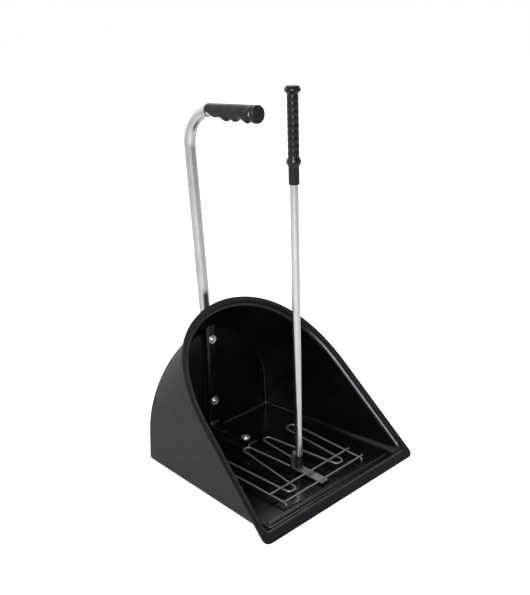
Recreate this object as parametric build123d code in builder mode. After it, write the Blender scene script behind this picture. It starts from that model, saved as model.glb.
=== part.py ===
from build123d import *
import os
from math import acos, cos, radians, sin, tan

os.makedirs("parts", exist_ok=True)

# Frame: X across the scoop (symmetry plane X = 0), -Y towards the scoop's open lip,
# +Z up, Z = 0 on the ground. Pieces are drawn with Y = 0 at the foot of the scoop's
# back wall; SHIFT_Y then brings the origin under the middle of the whole object.
SHIFT_Y = 167.28

# ---- scoop ----
LIP_HALF = 224.3       # half the outside width over the lip flange
LIP_Y = -388.3         # front edge of the lip
RIM_ANGLE = 42.48      # slope of the opening plane
RIM_LEN = 473.0        # length of the opening plane, lip to crown
RIM_STRAIGHT = 240.0   # straight part of its sides
RIM_TAPER = 0.0685     # side lean, per unit length
FLANGE = 16.0          # flange width round the opening
FLANGE_T = 4.0
LIP_CORNER_R = 14.0
LIP_FOOT_OUT = 3.0     # up the opening plane: where the floor meets the lip, outside
LIP_FOOT_IN = 8.7      # the same inside
BEAD_AT = 17.0         # front edge of the bead, up the opening plane
BEAD_END_Y = -361.0    # foot of the bead on the floor
WEB = 8.0              # size of the web behind the flange
WALL = 4.0
BACK_HALF = 176.5      # half width of the back wall at its foot
BACK_H = 244.4         # crown of the back wall
BACK_STRAIGHT = 64.7
BACK_TAPER = 0.0496
BACK_LEAN = 1.2        # the back wall leans back
FLOOR_R_BACK = 10.0    # rounding between side walls and floor, at the back
FLOOR_R_LIP = 20.0     # the same at the lip
BACK_R = 8.0           # outside radius round the back wall
BACK_R_IN = 6.0        # the same inside
RIM_R = 13.0           # radius where the flange turns into the inside wall
RIB_HALF = 180.0       # raised rib behind the lip
RIB_Y = -347.5
RIB_W = 15.0
RIB_H = 3.2

# ---- handle tube ----
TUBE_R = 11.5
TUBE_WALL = 1.5
LOW_LEAN = 1.4         # lean of the part inside the channel
TOP_LEAN = 5.46        # lean above the scoop
KINK_Y = 4.6
KINK_Z = 240.0
KINK_R = 200.0
GRIP_RISE = 5.0        # the hand part rises forwards
CORNER_Y = 49.1        # where the tube's line meets the hand part's line
CORNER_Z = 705.2
TOP_BEND_R = 75.0
TUBE_END = 190.0       # hand part, from that corner to the tube's end
FOOT_BEND_R = 28.0
FOOT_H = 18.6          # under the floor the tube is pressed to an oval
FOOT_W = 26.0
FOOT_END_Y = -128.0

# ---- channel in the back wall and floor that takes the tube ----
CHAN_GAP = 0.2
CHAN_HALF = 17.0
CHAN_FRONT = TUBE_R + CHAN_GAP + WALL
CHAN_CORNER_R = 9.0
CHAN_FLOOR_TOP = 23.3
CHAN_END_Y = -137.0

# ---- rivets through the channel ----
WASHER_R = 10.0
WASHER_T = 1.4
RIVET_R = 3.0
RIVET_HEAD_R = 5.0
RIVET_HEAD_H = 2.4
RIVET_LOW_Z = 77.0
RIVET_HIGH_Z = 222.0
RIVET_FLOOR_Y = -110.5

# ---- hand grip ----
GRIP_R = 13.0
GRIP_START = 64.0      # along the hand part from the corner
GRIP_END = 202.0
GRIP_TOP = 13.3        # straight top line above the axis
END_R = 17.5           # flared front end
END_T = 9.0
END_DROP = 4.0

# ---- rake ----
SHAFT_R = 7.75
SHAFT_WALL = 1.2
RAKE_Y = -265.1        # shaft axis at ground level
RAKE_LEAN = 2.18       # shaft leans back
RAKE_YAW = 0.47         # the rake stands slightly turned
RAKE_TOP = 780.9       # along the shaft from ground level
WIRE_R = 2.1
CLAW_Z = 17.2          # wire centres at the shaft
CLAW_TILT = 2.11       # the claw rises towards its back
BAR_HALF = 122.4
REAR_BAR_V = -30.7
FRONT_BAR_V = -67.3
STRAP_HALF = 10.0
STRAP_T = 3.0
STRAP_FRONT = -68.5
TAB_FRONT = 8.0        # the strap's upright tab, behind the shaft
TAB_BACK = 12.0
TAB_START = 12.8       # along the shaft
PLUG_R = 7.5
PLUG_START = 15.9
PLUG_SPIGOT = 25.0
LUG_H = 8.0
SHAFT_START = 43.6
SHAFT_END = 775.0
GRIP_LOW = 602.8
SLEEVE_R = 10.1
COLLAR_LOW = 635.5
COLLAR_Z = 645.0
COLLAR_R = 13.9
RING_START = 654.45
RING_PITCH = 12.3
RINGS = 9
RINGS_TOP = RING_START + RINGS * RING_PITCH
RING_R = 10.7
RING_VALLEY_R = 10.1
KNOB_R = 15.2
KNOB_Z = 773.5
KNOB_TOP_R = 11.5

# one wire of the claw: corners in the claw's plane, right-hand side
TINE_CORNERS = [(115.7, -70.5, -8.3), (115.7, -70.5, 0), (118.9, 124.5, 0), (92.6, 124.5, 0)]
TINE_CORNERS += [(83.4, -48.9, 0), (62, -48.9, 0), (38.6, 124.5, 0), (21.2, 124.5, 0)]
TINE_CORNERS += [(12.5, 14.6, 0)]
TINE_RADII = [3.4, 12.5, 12.5, 9.5, 9.5, 8.2, 8.2]


def keep(part, name):
    """Label a finished piece, move it into the shared frame and write its file."""
    placed = part.moved(Location((0, SHIFT_Y, 0)))
    placed.label = name
    export_step(placed, "parts/" + name + ".step")


def rim_plane(offset):
    """Opening plane, moved into the scoop by offset."""
    a = radians(RIM_ANGLE)
    origin = (0, LIP_Y + offset * sin(a), -offset * cos(a))
    return Plane(origin=origin, x_dir=(1, 0, 0), z_dir=(0, -sin(a), cos(a)))


def back_plane(offset):
    """Back wall's outer plane, moved forwards by offset."""
    a = radians(BACK_LEAN)
    origin = (0, -offset * cos(a), offset * sin(a))
    return Plane(origin=origin, x_dir=(1, 0, 0), z_dir=(0, -cos(a), sin(a)))


def stand(lean, y, z):
    """Plane of a thing standing on the floor, leaning back and turned by RAKE_YAW."""
    t = radians(RAKE_YAW)
    a = radians(lean)
    normal = (-sin(t) * sin(a), cos(t) * sin(a), cos(a))
    return Plane(origin=(0, y, z), x_dir=(cos(t), sin(t), 0), z_dir=normal)


def arch(foot, half, straight, taper, crown, shoulder, head):
    """Outline of a straight-sided arch: flat foot, leaning sides, rounded head."""
    base = half - taper * foot
    side = half - taper * straight
    rise = (crown - straight) * shoulder
    lean = side - taper * rise
    Line((-base, foot), (base, foot))
    Line((base, foot), (side, straight))
    Bezier((side, straight), (lean, straight + rise), (side * head, crown), (0, crown))
    Bezier((0, crown), (-side * head, crown), (-lean, straight + rise), (-side, straight))
    Line((-side, straight), (-base, foot))


def rim_arch(inset, foot):
    arch(foot, LIP_HALF - inset, RIM_STRAIGHT, RIM_TAPER, RIM_LEN - inset, 0.838, 0.345)


def back_arch(inset):
    arch(inset, BACK_HALF - inset, BACK_STRAIGHT, BACK_TAPER, BACK_H - inset, 0.52, 0.56)


def form(inset, lip_foot, back_r, lip_r, edge_r):
    """Back wall arch lofted to the opening, with rounded lower corners."""
    with BuildPart() as lofted:
        with BuildSketch(back_plane(inset)) as back:
            with BuildLine():
                back_arch(inset)
            make_face()
            fillet(back.vertices().group_by(Axis.Y)[0], back_r)
        with BuildSketch(rim_plane(0)) as front:
            with BuildLine():
                rim_arch(FLANGE + inset, lip_foot)
            make_face()
            fillet(front.vertices().group_by(Axis.Y)[0], lip_r)
        loft(ruled=True)
        fillet(lofted.faces().sort_by(Axis.Y)[-1].edges(), edge_r)
    return lofted.part


def bent_path(points, radii):
    """Lines through points, with an arc of the given radius at each inner point."""
    at = Vector(*points[0])
    for corner, after, radius in zip(points[1:-1], points[2:], radii):
        corner = Vector(*corner)
        d_in = (corner - at).normalized()
        d_out = (Vector(*after) - corner).normalized()
        turn = acos(max(-1.0, min(1.0, d_in.dot(d_out))))
        reach = radius * tan(turn / 2)
        start = corner - d_in * reach
        end = corner + d_out * reach
        to_centre = (d_out - d_in).normalized()
        middle = corner + to_centre * (radius / cos(turn / 2) - radius)
        Line(at, start)
        ThreePointArc(start, middle, end)
        at = end
    Line(at, Vector(*points[-1]))


def low_line(z):
    """Y of the tube's axis inside the channel."""
    return KINK_Y + (z - KINK_Z) * tan(radians(LOW_LEAN))


def floor_z(y):
    """Inside floor height."""
    front_y = LIP_Y + LIP_FOOT_IN * cos(radians(RIM_ANGLE))
    front_z = LIP_FOOT_IN * sin(radians(RIM_ANGLE))
    return WALL + (front_z - WALL) * y / front_y


# ---------------------------------------------------------------- scoop shell

outer = form(0, LIP_FOOT_OUT, FLOOR_R_BACK, FLOOR_R_LIP, BACK_R)
hollow = form(WALL, LIP_FOOT_IN, FLOOR_R_BACK - 2, FLOOR_R_LIP - 2, BACK_R_IN)

# the tube's way through the shell, shared by the tube, its bore and the channel
FOOT_AXIS_Z = FOOT_H / 2
ROUND_Z = 66.0         # below this the tube is pressed flatter
ELBOW_Z = FOOT_AXIS_Z + FOOT_BEND_R
ROUND_AT = (0, low_line(ROUND_Z), ROUND_Z)
ELBOW_AT = (0, low_line(ELBOW_Z), ELBOW_Z)
ELBOW_MIDDLE = (
    0,
    ELBOW_AT[1] - FOOT_BEND_R * (1 - cos(radians(45))),
    ELBOW_Z - FOOT_BEND_R * sin(radians(45)),
)
FOOT_AT = (0, ELBOW_AT[1] - FOOT_BEND_R, FOOT_AXIS_Z)
HAND_END = (
    0,
    CORNER_Y - TUBE_END * cos(radians(GRIP_RISE)),
    CORNER_Z + TUBE_END * sin(radians(GRIP_RISE)),
)
UPPER = [ROUND_AT, (0, KINK_Y, KINK_Z), (0, CORNER_Y, CORNER_Z), HAND_END]
LOW_DIR = (0, sin(radians(LOW_LEAN)), cos(radians(LOW_LEAN)))


def tube_form(round_r, half_w, half_h, upper, foot_end_y):
    """The tube's outline as a solid: round above, then an oval elbow and foot."""
    with BuildPart() as form:
        with BuildLine() as way:
            bent_path(upper, [KINK_R, TOP_BEND_R])
        with BuildSketch(Plane(origin=ROUND_AT, x_dir=(1, 0, 0), z_dir=LOW_DIR)):
            Circle(round_r)
        sweep(path=way.line)
        with BuildSketch(Plane(origin=ROUND_AT, x_dir=(1, 0, 0), z_dir=LOW_DIR)):
            Circle(round_r)
        with BuildSketch(Plane(origin=ELBOW_AT, x_dir=(1, 0, 0), z_dir=(0, 0, 1))):
            Ellipse(half_w, half_h)
        loft()
        with BuildLine() as elbow:
            ThreePointArc(ELBOW_AT, ELBOW_MIDDLE, FOOT_AT)
        with BuildSketch(Plane(origin=ELBOW_AT, x_dir=(1, 0, 0), z_dir=(0, 0, -1))):
            Ellipse(half_w, half_h)
        sweep(path=elbow.line)
        with BuildSketch(Plane(origin=FOOT_AT, x_dir=(1, 0, 0), z_dir=(0, -1, 0))):
            Ellipse(half_w, half_h)
        extrude(amount=FOOT_AT[1] - foot_end_y)
    return form.part


# channel round the tube, standing into the hollow
CHAN_BEND_Z = CHAN_FLOOR_TOP - CHAN_FRONT + FOOT_BEND_R
CHAN_HIGH = (0, low_line(300), 300)
CHAN_BEND = (0, low_line(CHAN_BEND_Z), CHAN_BEND_Z)
CHAN_MIDDLE = (
    0,
    CHAN_BEND[1] - FOOT_BEND_R * (1 - cos(radians(45))),
    CHAN_BEND_Z - FOOT_BEND_R * sin(radians(45)),
)
CHAN_LOW = (0, CHAN_BEND[1] - FOOT_BEND_R, CHAN_BEND_Z - FOOT_BEND_R)

with BuildPart() as channel:
    with BuildLine() as way:
        Line(CHAN_HIGH, CHAN_BEND)
        ThreePointArc(CHAN_BEND, CHAN_MIDDLE, CHAN_LOW)
        Line(CHAN_LOW, (0, CHAN_END_Y, CHAN_LOW[2]))
    down = (0, -LOW_DIR[1], -LOW_DIR[2])
    with BuildSketch(Plane(origin=CHAN_HIGH, x_dir=(1, 0, 0), z_dir=down)) as section:
        with Locations((0, CHAN_FRONT / 2 - 10)):
            Rectangle(2 * CHAN_HALF, CHAN_FRONT + 20)
        fillet(section.vertices().group_by(Axis.Y)[-1], CHAN_CORNER_R)
    sweep(path=way.line)
    end_edges = channel.faces().sort_by(Axis.Y)[0].edges()
    fillet(end_edges.group_by(Axis.Z)[-1], 6)
    add(outer, mode=Mode.INTERSECT)

# bore that the tube lies in, running out through the vault and open under the floor
tube_outside = tube_form(TUBE_R, FOOT_W / 2, FOOT_H / 2, UPPER, FOOT_END_Y)
bore = tube_form(
    TUBE_R + CHAN_GAP, FOOT_W / 2 + CHAN_GAP, FOOT_H / 2 + CHAN_GAP, UPPER, FOOT_END_Y - 1
)


def wall_seat(z):
    """Plane on the channel's front, facing into the scoop."""
    a = radians(LOW_LEAN)
    at = (0, low_line(z) - CHAN_FRONT * cos(a), z + CHAN_FRONT * sin(a))
    return Plane(origin=at, x_dir=(1, 0, 0), z_dir=(0, -cos(a), sin(a)))


floor_seat = Plane(origin=(0, RIVET_FLOOR_Y, CHAN_FLOOR_TOP), x_dir=(1, 0, 0), z_dir=(0, 0, 1))
SEATS = [wall_seat(RIVET_LOW_Z), wall_seat(RIVET_HIGH_Z), floor_seat]

with BuildPart() as scoop_shell:
    add(outer)
    # flange plate round the opening
    with BuildSketch(rim_plane(0)) as plate:
        with BuildLine():
            rim_arch(0, 0)
        make_face()
        fillet(plate.vertices().group_by(Axis.Y)[0], LIP_CORNER_R)
    extrude(amount=-FLANGE_T)
    # web behind the flange, keeping its rolled inner edge thick enough
    with BuildSketch(rim_plane(FLANGE_T - 0.5)):
        with BuildLine():
            rim_arch(FLANGE - WEB, LIP_FOOT_OUT + 8)
        make_face()
    with BuildSketch(rim_plane(FLANGE_T + WEB)):
        with BuildLine():
            rim_arch(FLANGE + 2, LIP_FOOT_OUT + 8)
        make_face()
    loft(ruled=True)
    add(hollow, mode=Mode.SUBTRACT)
    # inside edge of the flange, rolled into the wall
    rim = rim_plane(0)
    on_rim = scoop_shell.edges().filter_by(lambda e: abs(rim.to_local_coords(e.center()).Z) < 0.01)
    inner_loop = on_rim.filter_by(
        lambda e: abs(rim.to_local_coords(e.center()).X) < LIP_HALF - FLANGE - 2
        and LIP_FOOT_IN + 2 < rim.to_local_coords(e.center()).Y < RIM_LEN - 10
    )
    fillet(inner_loop, RIM_R)
    # bead along the lip
    with BuildSketch(Plane.YZ) as bead:
        with BuildLine():
            crest = (LIP_Y + BEAD_AT * cos(radians(RIM_ANGLE)), BEAD_AT * sin(radians(RIM_ANGLE)))
            Line((LIP_Y, 0), crest)
            ThreePointArc(crest, (crest[0] + 8.5, crest[1] + 0.2), (BEAD_END_Y, floor_z(BEAD_END_Y)))
            Line((BEAD_END_Y, floor_z(BEAD_END_Y)), (BEAD_END_Y, floor_z(BEAD_END_Y) - 3))
            Line((BEAD_END_Y, floor_z(BEAD_END_Y) - 3), (LIP_Y + 4, 0))
            Line((LIP_Y + 4, 0), (LIP_Y, 0))
        make_face()
    extrude(amount=LIP_HALF - FLANGE - 2, both=True)
    # channel for the handle tube
    add(channel.part)
    add(bore, mode=Mode.SUBTRACT)
    with Locations((0, (FOOT_AT[1] + FOOT_END_Y) / 2 - 0.5, FOOT_AXIS_Z / 2 - 5)):
        Box(
            FOOT_W + 2 * CHAN_GAP,
            FOOT_AT[1] - FOOT_END_Y + 1,
            FOOT_AXIS_Z + 10,
            mode=Mode.SUBTRACT,
        )
    # stiffening rib behind the lip
    slope = Plane(
        origin=(0, RIB_Y, floor_z(RIB_Y) - 1),
        x_dir=(1, 0, 0),
        z_dir=(0, floor_z(-1) - floor_z(0), 1),
    )
    with BuildSketch(slope):
        SlotOverall(2 * RIB_HALF, RIB_W)
    extrude(amount=RIB_H + 1)
    rib_top = scoop_shell.faces().filter_by(
        lambda f: abs(slope.to_local_coords(f.center()).Z - RIB_H - 1) < 0.05
        and abs(f.center().Y - RIB_Y) < 2
    )
    fillet(rib_top.edges(), 3.0)
    # rivet holes
    for seat in SEATS:
        with BuildSketch(seat):
            Circle(RIVET_R + 0.1)
        extrude(amount=-8, mode=Mode.SUBTRACT)
        with BuildSketch(seat):
            Circle(RIVET_R + 0.1)
        extrude(amount=2, mode=Mode.SUBTRACT)
    # nothing reaches below the ground
    with Locations((0, -200, -50)):
        Box(600, 600, 100, mode=Mode.SUBTRACT)
keep(scoop_shell.part, "scoop_shell")

# ---------------------------------------------------------------- handle

with BuildPart() as handle_tube:
    add(tube_outside)
    add(
        tube_form(
            TUBE_R - TUBE_WALL,
            FOOT_W / 2 - TUBE_WALL,
            FOOT_H / 2 - TUBE_WALL,
            UPPER,
            FOOT_END_Y,
        ),
        mode=Mode.SUBTRACT,
    )
    for seat in SEATS:
        with BuildSketch(seat):
            Circle(RIVET_R + 0.1)
        extrude(amount=-9, mode=Mode.SUBTRACT)
keep(handle_tube.part, "handle_tube")

# hand grip: round sleeve, finger ridges underneath, flared front end
g = radians(GRIP_RISE)


def hand_plane(along, drop=0.0):
    """Plane across the hand part, along it from the tube's corner; local Y is up."""
    y = CORNER_Y - along * cos(g) - drop * sin(g)
    z = CORNER_Z + along * sin(g) - drop * cos(g)
    return Plane(origin=(0, y, z), x_dir=(1, 0, 0), z_dir=(0, -cos(g), sin(g)))


# underside of the grip, as (along, drop below the axis): three finger ridges
UNDER = [(GRIP_START, 13.6), (80, 13.3), (94, 13.4), (102, 15.2)]
UNDER += [(115, 20.5), (127, 15.0), (139.7, 20.5), (152.7, 15.0), (166.7, 20.5)]
UNDER += [(180, 15.0), (GRIP_END - END_T + 1, 19.5)]

with BuildPart() as handle_grip:
    for along, drop in UNDER:
        with BuildSketch(hand_plane(along, (drop - GRIP_TOP) / 2)):
            Ellipse(GRIP_R, (drop + GRIP_TOP) / 2)
    loft()
    # flared front end
    with BuildSketch(hand_plane(GRIP_END - END_T, END_DROP)):
        Circle(END_R)
    extrude(amount=END_T)
    front = handle_grip.faces().sort_by(Axis.Y)[0]
    fillet(front.edges(), 3.5)
    # room for the tube
    with BuildLine() as way:
        bent_path([UPPER[1], UPPER[2], hand_plane(TUBE_END + 0.5).origin], [TOP_BEND_R])
    with BuildSketch(Plane(origin=UPPER[1], x_dir=(1, 0, 0), z_dir=way.line % 0)):
        Circle(TUBE_R + 0.1)
    sweep(path=way.line, mode=Mode.SUBTRACT)
keep(handle_grip.part, "handle_grip")

# ---------------------------------------------------------------- rivets and washers


def axial(seat):
    """Plane holding the seat's normal as its local Y."""
    n = seat.z_dir
    return Plane(origin=seat.origin, x_dir=(1, 0, 0), z_dir=Vector(1, 0, 0).cross(n))


with BuildPart() as handle_rivets:
    for seat in SEATS:
        with BuildSketch(axial(seat)):
            with BuildLine():
                Line((0, -7.5), (RIVET_R, -7.5))
                Line((RIVET_R, -7.5), (RIVET_R, WASHER_T))
                Line((RIVET_R, WASHER_T), (RIVET_HEAD_R, WASHER_T))
                Line((RIVET_HEAD_R, WASHER_T), (RIVET_HEAD_R, WASHER_T + 0.6))
                ThreePointArc(
                    (RIVET_HEAD_R, WASHER_T + 0.6),
                    (3.5, WASHER_T + RIVET_HEAD_H - 0.4),
                    (1.2, WASHER_T + RIVET_HEAD_H),
                )
                Line((1.2, WASHER_T + RIVET_HEAD_H), (0, WASHER_T + RIVET_HEAD_H - 0.8))
                Line((0, WASHER_T + RIVET_HEAD_H - 0.8), (0, -7.5))
            make_face()
        revolve(axis=Axis(seat.origin, seat.z_dir))
keep(handle_rivets.part, "handle_rivets")

with BuildPart() as rivet_washers:
    for seat in SEATS:
        with BuildSketch(axial(seat)):
            with BuildLine():
                Line((RIVET_R + 0.1, 0), (WASHER_R, 0))
                Line((WASHER_R, 0), (WASHER_R, 0.7))
                ThreePointArc((WASHER_R, 0.7), (WASHER_R - 0.6, 1.9), (WASHER_R - 1.8, 2.1))
                Line((WASHER_R - 1.8, 2.1), (RIVET_HEAD_R + 0.6, WASHER_T))
                Line((RIVET_HEAD_R + 0.6, WASHER_T), (RIVET_R + 0.1, WASHER_T))
                Line((RIVET_R + 0.1, WASHER_T), (RIVET_R + 0.1, 0))
            make_face()
        revolve(axis=Axis(seat.origin, seat.z_dir))
keep(rivet_washers.part, "rivet_washers")

# ---------------------------------------------------------------- rake

shaft_foot = stand(RAKE_LEAN, RAKE_Y, 0)
shaft_axis = Axis(shaft_foot.origin, shaft_foot.z_dir)
shaft_side = Plane(
    origin=shaft_foot.origin,
    x_dir=shaft_foot.x_dir,
    z_dir=shaft_foot.x_dir.cross(shaft_foot.z_dir),
)

with BuildPart() as rake_shaft:
    with BuildSketch(shaft_foot.offset(SHAFT_START)):
        Circle(SHAFT_R)
        Circle(SHAFT_R - SHAFT_WALL, mode=Mode.SUBTRACT)
    extrude(amount=SHAFT_END - SHAFT_START)
keep(rake_shaft.part, "rake_shaft")

with BuildPart() as rake_grip:
    with BuildSketch(shaft_side):
        with BuildLine():
            Line((SHAFT_R + 0.1, GRIP_LOW), (SLEEVE_R - 0.5, GRIP_LOW))
            Line((SLEEVE_R - 0.5, GRIP_LOW), (SLEEVE_R, GRIP_LOW + 0.8))
            Line((SLEEVE_R, GRIP_LOW + 0.8), (SLEEVE_R, COLLAR_LOW))
            Spline(
                [(SLEEVE_R, COLLAR_LOW), (COLLAR_R - 1.2, COLLAR_Z - 4), (COLLAR_R, COLLAR_Z)]
                + [(COLLAR_R - 1.2, COLLAR_Z + 4), (RING_VALLEY_R, RING_START)],
            )
            for i in range(RINGS):
                low = RING_START + i * RING_PITCH
                ThreePointArc(
                    (RING_VALLEY_R, low),
                    (RING_R, low + RING_PITCH / 2),
                    (RING_VALLEY_R, low + RING_PITCH),
                )
            Spline(
                [(RING_VALLEY_R, RINGS_TOP), (KNOB_R - 2.6, KNOB_Z - 4), (KNOB_R, KNOB_Z)]
                + [(KNOB_R - 1.4, KNOB_Z + 4), (KNOB_TOP_R, RAKE_TOP)],
            )
            Line((KNOB_TOP_R, RAKE_TOP), (0, RAKE_TOP))
            Line((0, RAKE_TOP), (0, SHAFT_END + 0.5))
            Line((0, SHAFT_END + 0.5), (SHAFT_R + 0.1, SHAFT_END + 0.5))
            Line((SHAFT_R + 0.1, SHAFT_END + 0.5), (SHAFT_R + 0.1, GRIP_LOW))
        make_face()
    revolve(axis=shaft_axis)
keep(rake_grip.part, "rake_grip")

claw = stand(-CLAW_TILT, RAKE_Y, CLAW_Z)
# black plug between the shaft's open end and the strap
with BuildPart() as rake_plug:
    with BuildSketch(shaft_foot.offset(PLUG_START)):
        Circle(PLUG_R)
    extrude(amount=SHAFT_START - PLUG_START)
    with BuildSketch(shaft_foot.offset(SHAFT_START)):
        Circle(SHAFT_R - SHAFT_WALL - 0.05)
    extrude(amount=PLUG_SPIGOT)
keep(rake_plug.part, "rake_plug")

# bright lug behind the foot of the shaft
lug_plane = shaft_foot.offset(SHAFT_START)
with BuildPart() as rake_lug:
    with BuildSketch(lug_plane):
        with Locations((0, (TAB_FRONT + TAB_BACK) / 2 - 1)):
            Rectangle(2 * STRAP_HALF, TAB_BACK - TAB_FRONT + 2)
        Circle(SHAFT_R + 0.05, mode=Mode.SUBTRACT)
    extrude(amount=LUG_H)
    back = rake_lug.faces().sort_by(Axis.Y)[-1]
    fillet(back.edges(), 1.2)
keep(rake_lug.part, "rake_lug")

# strap under the claw, turned up behind the plug
strap_plane = claw.offset(-WIRE_R - 0.05 - STRAP_T)
with BuildPart() as rake_strap:
    with BuildSketch(strap_plane) as strap_shape:
        with Locations((0, (TAB_BACK + STRAP_FRONT) / 2)):
            Rectangle(2 * STRAP_HALF, TAB_BACK - STRAP_FRONT)
        fillet(strap_shape.vertices().group_by(Axis.Y)[0], 2)
    extrude(amount=STRAP_T)
    with BuildSketch(shaft_foot.offset(TAB_START)):
        with Locations((0, (TAB_BACK + TAB_FRONT) / 2)):
            Rectangle(2 * STRAP_HALF, TAB_BACK - TAB_FRONT)
    extrude(amount=SHAFT_START - 0.05 - TAB_START)
keep(rake_strap.part, "rake_strap")

for name, side in (("right_tine_wire", 1), ("left_tine_wire", -1)):
    with BuildPart() as tine_wire:
        with BuildLine() as way:
            corners = [claw.from_local_coords((side * u, v, w)) for u, v, w in TINE_CORNERS]
            bent_path(corners, TINE_RADII)
        with BuildSketch(Plane(origin=way.line @ 0, z_dir=way.line % 0)):
            Circle(WIRE_R)
        sweep(path=way.line)
        tips = tine_wire.faces().filter_by(GeomType.PLANE)
        fillet(tips.edges(), 0.8)
    keep(tine_wire.part, name)

for name, v in (("rear_crossbar", REAR_BAR_V), ("front_crossbar", FRONT_BAR_V)):
    with BuildPart() as crossbar:
        middle = claw.offset(2 * WIRE_R + 0.03)
        at = middle.from_local_coords((-BAR_HALF, v, 0))
        with BuildSketch(Plane(origin=at, x_dir=claw.z_dir, z_dir=claw.x_dir)):
            Circle(WIRE_R)
        extrude(amount=2 * BAR_HALF)
        fillet(crossbar.faces().filter_by(GeomType.PLANE).edges(), 0.8)
    keep(crossbar.part, name)
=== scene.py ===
from math import cos, radians, sin

import bpy
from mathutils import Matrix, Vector

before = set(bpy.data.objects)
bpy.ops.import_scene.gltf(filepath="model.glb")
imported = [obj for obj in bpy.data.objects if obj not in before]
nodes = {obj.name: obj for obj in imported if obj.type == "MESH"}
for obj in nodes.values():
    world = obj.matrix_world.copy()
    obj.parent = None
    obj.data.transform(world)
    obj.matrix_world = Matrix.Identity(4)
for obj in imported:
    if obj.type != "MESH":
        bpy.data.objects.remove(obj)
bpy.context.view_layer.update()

# The CAD frame has its origin under the middle of the object, SHIFT_Y behind the
# scoop's back wall foot.
SHIFT_Y = 0.16728
LIP_Y = -0.3883 + SHIFT_Y
RIM_ANGLE = radians(42.48)
HOLLOW_POINT = (0, 0.02, 0.11)   # a point in the middle of the hollow
RIM_SLACK = 0.0005               # the flange's front is this close to the opening plane

FLOOR_SIZE = 14
FLOOR_DROP = 0.0005
FLOOR_SEEN = 0.93                # floor glow on camera rays, so that it reads as white
FLOOR_MIRRORED = 0.19            # floor glow in reflections

CAMERA_LENS = 56.98
CAMERA_AT = (-1.2497, -1.3726 + SHIFT_Y, 1.0294)
CAMERA_DOWN = 21.0825
CAMERA_TURN = -46.0503


# ---------------------------------------------------------------- node helpers

class Mat:
    """A material under construction, with short calls for its nodes."""

    def __init__(self, name):
        self.m = bpy.data.materials.new(name)
        self.m.use_nodes = True
        self.t = self.m.node_tree
        self.p = self.t.nodes["Principled BSDF"]
        self.coord = self.t.nodes.new("ShaderNodeTexCoord").outputs["Object"]

    def node(self, kind, **values):
        n = self.t.nodes.new(kind)
        for key, value in values.items():
            setattr(n, key, value)
        return n

    def link(self, a, b):
        self.t.links.new(a, b)

    def stretched(self, scale, turn=(0, 0, 0)):
        n = self.node("ShaderNodeMapping")
        n.inputs["Scale"].default_value = scale
        n.inputs["Rotation"].default_value = turn
        self.link(self.coord, n.inputs["Vector"])
        return n.outputs[0]

    def noise(self, vector, scale, detail=4.0, rough=0.55, distort=0.0):
        n = self.node("ShaderNodeTexNoise")
        n.inputs["Scale"].default_value = scale
        n.inputs["Detail"].default_value = detail
        n.inputs["Roughness"].default_value = rough
        n.inputs["Distortion"].default_value = distort
        self.link(vector, n.inputs["Vector"])
        return n.outputs[0]

    def remap(self, value, low, high, to_low, to_high, smooth=False):
        n = self.node("ShaderNodeMapRange")
        if smooth:
            n.interpolation_type = "SMOOTHSTEP"
        for key, v in zip(("From Min", "From Max", "To Min", "To Max"), (low, high, to_low, to_high)):
            n.inputs[key].default_value = v
        self.link(value, n.inputs["Value"])
        return n.outputs[0]

    def math(self, op, a, b):
        n = self.node("ShaderNodeMath", operation=op)
        for socket, v in zip(n.inputs, (a, b)):
            if isinstance(v, (int, float)):
                socket.default_value = v
            else:
                self.link(v, socket)
        return n.outputs[0]

    def mix(self, fac, a, b):
        n = self.node("ShaderNodeMix", data_type="RGBA")
        for socket, v in zip((n.inputs[0], n.inputs[6], n.inputs[7]), (fac, a, b)):
            if isinstance(v, tuple):
                socket.default_value = (*v, 1)
            elif isinstance(v, (int, float)):
                socket.default_value = v
            else:
                self.link(v, socket)
        return n.outputs[2]

    def bump(self, height, strength, distance, under=None):
        n = self.node("ShaderNodeBump")
        n.inputs["Strength"].default_value = strength
        n.inputs["Distance"].default_value = distance
        self.link(height, n.inputs["Height"])
        if under is not None:
            self.link(under, n.inputs["Normal"])
        return n.outputs[0]

    def set(self, **values):
        for key, v in values.items():
            socket = self.p.inputs[key.replace("_", " ")]
            if isinstance(v, tuple):
                socket.default_value = (*v, 1)
            elif isinstance(v, (int, float)):
                socket.default_value = v
            else:
                self.link(v, socket)


def give(material, slot_name, *names):
    for n in names:
        mesh = nodes[n].data
        mesh.materials.clear()
        mesh.materials.append(material.m)


# ---------------------------------------------------------------- materials

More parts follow.
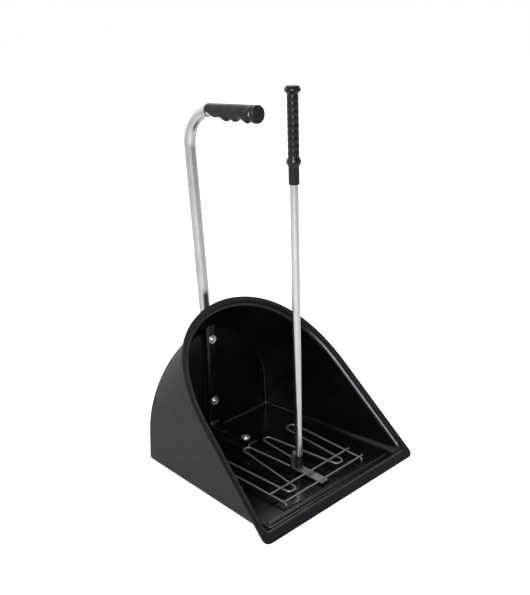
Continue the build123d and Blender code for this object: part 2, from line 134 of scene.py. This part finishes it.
def scoop_plastic():
    """Black plastic: grained and scuffed outside, smooth and glossy inside, where the base colour is a
    darker, bluish copy that is painted shade.
    """
    m = Mat("scoop_black")
    inside = m.node("ShaderNodeAttribute", attribute_name="inside").outputs["Fac"]
    cloud = m.noise(m.coord, 9.0, 5.0, 0.6)
    fine = m.noise(m.coord, 420.0, 3.0, 0.6)
    scuffs = m.noise(m.stretched((240, 18, 9), (0.2, 0.5, 0.9)), 1.0, 6.0, 0.7)
    scratch = m.remap(scuffs, 0.62, 0.72, 0.0, 1.0, True)
    speckle = m.remap(m.noise(m.coord, 150.0, 4.0, 0.65), 0.42, 0.68, 0.0, 1.0, True)
    tone = m.remap(cloud, 0.3, 0.7, 0, 1)
    matte = m.mix(tone, (0.0065, 0.0048, 0.0060), (0.0110, 0.0088, 0.0102))
    matte = m.mix(m.math("MULTIPLY", speckle, 0.55), matte, (0.030, 0.0265, 0.0285))
    matte = m.mix(m.math("MULTIPLY", scratch, 0.35), matte, (0.060, 0.055, 0.057))
    # painted shade: the hollow and the flange get a darker, bluish copy of the plastic's colour; their
    # lower roughness further down is real gloss
    painted_hollow_shade = m.mix(tone, (0.0020, 0.0022, 0.0050), (0.0034, 0.0034, 0.0065))
    m.set(Base_Color=m.mix(inside, matte, painted_hollow_shade))
    outer_rough = m.math("ADD", m.remap(cloud, 0.3, 0.7, 0.42, 0.52), m.math("MULTIPLY", scratch, 0.1))
    inner_rough = m.math("ADD", m.remap(cloud, 0.3, 0.7, 0.17, 0.23), m.math("MULTIPLY", scratch, 0.05))
    blend = m.node("ShaderNodeMix")
    for socket, v in zip(blend.inputs[:1] + blend.inputs[2:4], (inside, outer_rough, inner_rough)):
        m.link(v, socket)
    m.set(Roughness=blend.outputs[0])
    m.set(Normal=m.bump(fine, 0.10, 0.0003, m.bump(cloud, 0.05, 0.003)))
    m.p.inputs["IOR"].default_value = 1.5
    m.p.inputs["Specular Tint"].default_value = (1.0, 0.91, 1.0, 1)
    return m


def mark_inside(obj):
    """Writes a vertex value: 1 in the hollow and on the flange, 0 on the outside walls."""
    mesh = obj.data
    rim_normal = Vector((0, -sin(RIM_ANGLE), cos(RIM_ANGLE)))
    lip = Vector((0, LIP_Y, 0))
    total = [0.0] * len(mesh.vertices)
    count = [0] * len(mesh.vertices)
    for polygon in mesh.polygons:
        centre = polygon.center
        below = (centre - lip).dot(rim_normal)
        towards = Vector(HOLLOW_POINT) - centre
        facing = towards.dot(polygon.normal) > 0.0 or below > -RIM_SLACK
        value = 1.0 if facing else 0.0
        for v in polygon.vertices:
            total[v] += value
            count[v] += 1
    attribute = mesh.attributes.new("inside", "FLOAT", "POINT")
    attribute.data.foreach_set("value", [t / max(c, 1) for t, c in zip(total, count)])


def silver(name, color, rough):
    m = Mat(name)
    lines = m.noise(m.stretched((900, 900, 6)), 1.0, 4.0, 0.6)
    cloud = m.noise(m.coord, 22.0, 4.0, 0.6)
    dark = tuple(c * 0.86 for c in color)
    m.set(Base_Color=m.mix(m.remap(cloud, 0.3, 0.7, 0, 1), color, dark), Metallic=1.0)
    m.set(Roughness=m.remap(lines, 0.3, 0.7, rough - 0.05, rough + 0.07))
    m.set(Normal=m.bump(lines, 0.08, 0.0002))
    return m


def rivet_steel():
    m = Mat("rivet_steel")
    cloud = m.noise(m.coord, 260.0, 4.0, 0.6)
    tone = m.remap(cloud, 0.3, 0.7, 0, 1)
    m.set(Base_Color=m.mix(tone, (0.96, 0.96, 0.97), (0.86, 0.86, 0.87)), Metallic=1.0)
    m.set(Roughness=m.remap(cloud, 0.3, 0.7, 0.36, 0.48))
    m.set(Normal=m.bump(cloud, 0.1, 0.0002))
    return m


def grip_plastic(name, color, rough, grain):
    m = Mat(name)
    fine = m.noise(m.coord, grain, 3.0, 0.6)
    cloud = m.noise(m.coord, 35.0, 4.0, 0.6)
    light = tuple(c * 1.7 for c in color)
    m.set(Base_Color=m.mix(m.remap(cloud, 0.3, 0.7, 0, 1), color, light))
    m.set(Roughness=m.remap(cloud, 0.3, 0.7, rough - 0.05, rough + 0.06))
    m.set(Normal=m.bump(fine, 0.15, 0.0003))
    return m


def wire_steel():
    m = Mat("wire_steel")
    cloud = m.noise(m.coord, 60.0, 5.0, 0.65)
    tone = m.remap(cloud, 0.35, 0.7, 0, 1)
    m.set(Base_Color=m.mix(tone, (0.38, 0.38, 0.38), (0.27, 0.27, 0.27)), Metallic=0.9)
    m.set(Roughness=m.remap(cloud, 0.3, 0.7, 0.38, 0.52))
    m.set(Normal=m.bump(m.noise(m.coord, 700.0), 0.1, 0.0002))
    return m


mark_inside(nodes["scoop_shell"])
give(scoop_plastic(), "scoop_black", "scoop_shell")
give(silver("tube_silver", (0.80, 0.82, 0.825), 0.26), "tube_silver", "handle_tube")
give(silver("rake_silver", (0.83, 0.845, 0.85), 0.24), "rake_silver", "rake_shaft", "rake_lug")
give(rivet_steel(), "rivet_steel", "handle_rivets", "rivet_washers")
give(grip_plastic("grip_black", (0.0065, 0.0045, 0.0042), 0.36, 900.0), "grip_black", "handle_grip")
give(
    grip_plastic("rake_grip_black", (0.005, 0.0048, 0.0042), 0.25, 700.0),
    "rake_grip_black",
    "rake_grip",
)
give(grip_plastic("plug_black", (0.010, 0.010, 0.011), 0.3, 800.0), "plug_black", "rake_plug")
give(
    wire_steel(),
    "wire_steel",
    "rake_strap",
    "left_tine_wire",
    "right_tine_wire",
    "rear_crossbar",
    "front_crossbar",
)

for obj in nodes.values():
    obj.data.polygons.foreach_set("use_smooth", [True] * len(obj.data.polygons))

# ---------------------------------------------------------------- floor, light, camera

bpy.ops.mesh.primitive_plane_add(size=FLOOR_SIZE, location=(0, 0, -FLOOR_DROP))
floor = bpy.context.object
floor.name = "floor"
m = Mat("floor_white")
speck = m.noise(m.coord, 3.0)
m.set(Base_Color=m.mix(m.remap(speck, 0.3, 0.7, 0, 1), (0.56, 0.56, 0.56), (0.59, 0.59, 0.59)))
m.set(Roughness=0.9)
ray_kind = m.node("ShaderNodeLightPath").outputs
m.p.inputs["Emission Color"].default_value = (1, 1, 1, 1)
seen = m.math("MULTIPLY", ray_kind["Is Camera Ray"], FLOOR_SEEN)
mirrored = m.math("MULTIPLY", ray_kind["Is Glossy Ray"], FLOOR_MIRRORED)
m.link(m.math("ADD", seen, mirrored), m.p.inputs["Emission Strength"])
floor.data.materials.append(m.m)

# studio: white on camera rays; on all others a bright back and a dim front
world = bpy.data.worlds.new("studio")
bpy.context.scene.world = world
world.use_nodes = True
tree = world.node_tree
background = tree.nodes["Background"]
coord = tree.nodes.new("ShaderNodeTexCoord").outputs["Generated"]
away = tree.nodes.new("ShaderNodeVectorMath")
away.operation = "DOT_PRODUCT"
away.inputs[1].default_value = (0.25, 0.95, 0.1)
tree.links.new(coord, away.inputs[0])
fall = tree.nodes.new("ShaderNodeMapRange")
for key, v in zip(("From Min", "From Max", "To Min", "To Max"), (-0.6, 0.8, 0.14, 0.95)):
    fall.inputs[key].default_value = v
tree.links.new(away.outputs["Value"], fall.inputs["Value"])
ray = tree.nodes.new("ShaderNodeLightPath").outputs["Is Camera Ray"]
pick = tree.nodes.new("ShaderNodeMix")
tree.links.new(ray, pick.inputs[0])
tree.links.new(fall.outputs[0], pick.inputs[2])
pick.inputs[3].default_value = 1.0
tree.links.new(pick.outputs[0], background.inputs[1])
background.inputs[0].default_value = (1, 1, 1, 1)


def area(name, at, target, size, power):
    """Rectangular softbox at a place, turned towards a target."""
    light = bpy.data.lights.new(name, "AREA")
    light.shape = "RECTANGLE"
    light.size, light.size_y = size
    light.energy = power
    o = bpy.data.objects.new(name, light)
    o.location = at
    o.rotation_euler = (Vector(target) - Vector(at)).to_track_quat("-Z", "Y").to_euler()
    bpy.context.scene.collection.objects.link(o)


area("key_box", (-1.9, -1.5, 1.75), (0.15, -0.1, 0.1), (1.4, 1.4), 58)
area("back_box", (1.6, 2.2, 2.4), (0, 0, 0.2), (1.6, 1.0), 10)

camera = bpy.data.cameras.new("camera")
camera.lens = CAMERA_LENS
camera.sensor_width = 36
camera_object = bpy.data.objects.new("camera", camera)
camera_object.location = CAMERA_AT
camera_object.rotation_euler = (radians(90 - CAMERA_DOWN), 0, radians(CAMERA_TURN))
bpy.context.scene.collection.objects.link(camera_object)
bpy.context.scene.camera = camera_object
bpy.context.scene.view_settings.view_transform = "Standard"
